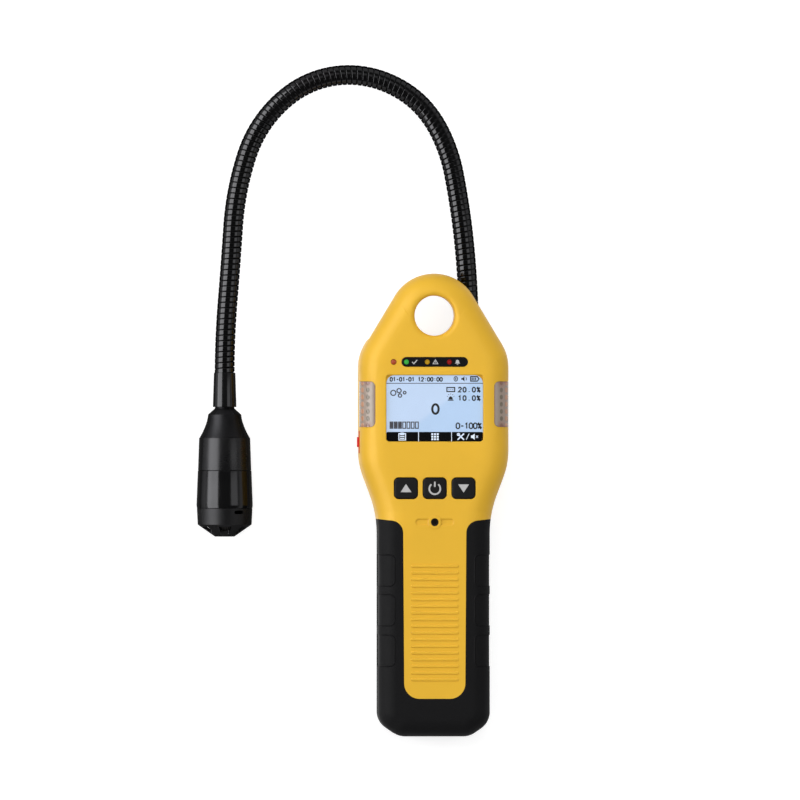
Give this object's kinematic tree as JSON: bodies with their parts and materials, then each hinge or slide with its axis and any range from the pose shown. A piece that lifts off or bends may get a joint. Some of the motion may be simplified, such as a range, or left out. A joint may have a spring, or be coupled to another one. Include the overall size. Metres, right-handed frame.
{
  "type": "gas leak detector",
  "caption": "Handheld gas leak detector with display, keys, rubber grip and a gooseneck sensor head.",
  "frame": {"origin": "middle of the case's length and width on the flat back, where the detector rests", "axes": "+Z out of the display side, +Y towards the hanging tab, +X to the right of the display"},
  "size_m": [0.1399, 0.302, 0.0365],
  "materials": {
    "yellow_shell": "fine satin moulded plastic",
    "black_rubber": "soft matt overmould",
    "seal_rubber": "matt",
    "clear_pane": "clear hard-coated pane",
    "dark_pane": "dark tinted pane",
    "alarm_pane": "clear moulded corner window",
    "display": "lit display module",
    "lamp": "lamp lens",
    "circuit": "circuit board",
    "key_black": "matt keys",
    "button_red": "glossy red",
    "inner_plastic": "moulded plastic",
    "bright_metal": "bare steel",
    "cell_skin": "sleeved steel can",
    "hose_black": "ringed, satin black sheath",
    "head_black": "black anodised, satin to gloss"
  },
  "bodies": {
    "housing": {"front_cover": "yellow_shell", "back_cover": "yellow_shell", "rubber_grip": "black_rubber", "case_gasket": "seal_rubber", "case_screws": "bright_metal", "display_window": "clear_pane", "lcd_module": "display", "indicator_window": "dark_pane", "indicator_lamps": "lamp", "status_lamp": "lamp", "alarm_window_left": "alarm_pane", "alarm_window_right": "alarm_pane", "alarm_lamps_left": "lamp", "alarm_lamps_right": "lamp", "main_board": "circuit", "key_switches": "inner_plastic", "side_switch": "inner_plastic", "sounder": "inner_plastic", "vibration_motor": "bright_metal", "battery_holder": "inner_plastic", "battery_cell_left": "cell_skin", "battery_cell_right": "cell_skin", "charge_socket": "bright_metal", "charge_board": "circuit", "hose_gland": "inner_plastic", "gland_nut": "bright_metal", "hose_length_1": "hose_black"},
    "key_up": {"key_up": "key_black"},
    "key_power": {"key_power": "key_black"},
    "key_down": {"key_down": "key_black"},
    "side_button": {"side_button": "button_red"},
    "hose_2": {"hose_length_2": "hose_black"},
    "hose_3": {"hose_length_3": "hose_black"},
    "hose_4": {"hose_length_4": "hose_black"},
    "hose_5": {"hose_length_5": "hose_black"},
    "hose_6": {"hose_length_6": "hose_black"},
    "hose_7": {"hose_length_7": "hose_black"},
    "hose_8": {"hose_length_8": "hose_black"},
    "sensor_head": {"hose_length_9": "hose_black", "hose_sleeve": "head_black", "head_collar": "head_black", "upper_barrel": "head_black", "lower_barrel": "head_black", "sensor_cap": "head_black", "dust_filter": "bright_metal", "sensor_element": "inner_plastic", "sensor_board": "circuit", "cap_seal": "seal_rubber"}
  },
  "joints": [
    {"name": "key_up_press", "type": "slide", "parent": "housing", "child": "key_up", "axis": [0, 0, -1], "range_m": [0, 0.0007], "stiffness_N_per_m": 1500, "springref_m": -0.0003},
    {"name": "key_power_press", "type": "slide", "parent": "housing", "child": "key_power", "axis": [0, 0, -1], "range_m": [0, 0.0007], "stiffness_N_per_m": 1500, "springref_m": -0.0003},
    {"name": "key_down_press", "type": "slide", "parent": "housing", "child": "key_down", "axis": [0, 0, -1], "range_m": [0, 0.0007], "stiffness_N_per_m": 1500, "springref_m": -0.0003},
    {"name": "side_button_press", "type": "slide", "parent": "housing", "child": "side_button", "axis": [1, 0, 0], "range_m": [0, 0.0008], "stiffness_N_per_m": 1500, "springref_m": -0.0003},
    {"name": "hose_bend_1", "type": "hinge", "parent": "housing", "child": "hose_2", "pos_m": [0.01432, 0.11618, 0.0127], "axis": [0, 0, 1], "range_deg": [-35, 12]},
    {"name": "hose_bend_2", "type": "hinge", "parent": "hose_2", "child": "hose_3", "pos_m": [0.00952, 0.14906, 0.0127], "axis": [-0.9813, -0.1925, 0], "range_deg": [-30, 30]},
    {"name": "hose_bend_3", "type": "hinge", "parent": "hose_3", "child": "hose_4", "pos_m": [-0.00489, 0.1786, 0.0127], "axis": [0, 0, 1], "range_deg": [-35, 12]},
    {"name": "hose_bend_4", "type": "hinge", "parent": "hose_4", "child": "hose_5", "pos_m": [-0.03372, 0.19348, 0.0127], "axis": [0, 0, 1], "range_deg": [-35, 12]},
    {"name": "hose_bend_5", "type": "hinge", "parent": "hose_5", "child": "hose_6", "pos_m": [-0.06488, 0.18442, 0.0127], "axis": [-0.6143, 0.7891, 0], "range_deg": [-30, 30]},
    {"name": "hose_bend_6", "type": "hinge", "parent": "hose_6", "child": "hose_7", "pos_m": [-0.08371, 0.15763, 0.0127], "axis": [0, 0, 1], "range_deg": [-35, 12]},
    {"name": "hose_bend_7", "type": "hinge", "parent": "hose_7", "child": "hose_8", "pos_m": [-0.08998, 0.12507, 0.0127], "axis": [0.9979, -0.0645, 0], "range_deg": [-30, 30]},
    {"name": "hose_bend_8", "type": "hinge", "parent": "hose_8", "child": "sensor_head", "pos_m": [-0.09242, 0.09192, 0.0127], "axis": [0, 0, 1], "range_deg": [-35, 12]}
  ]
}
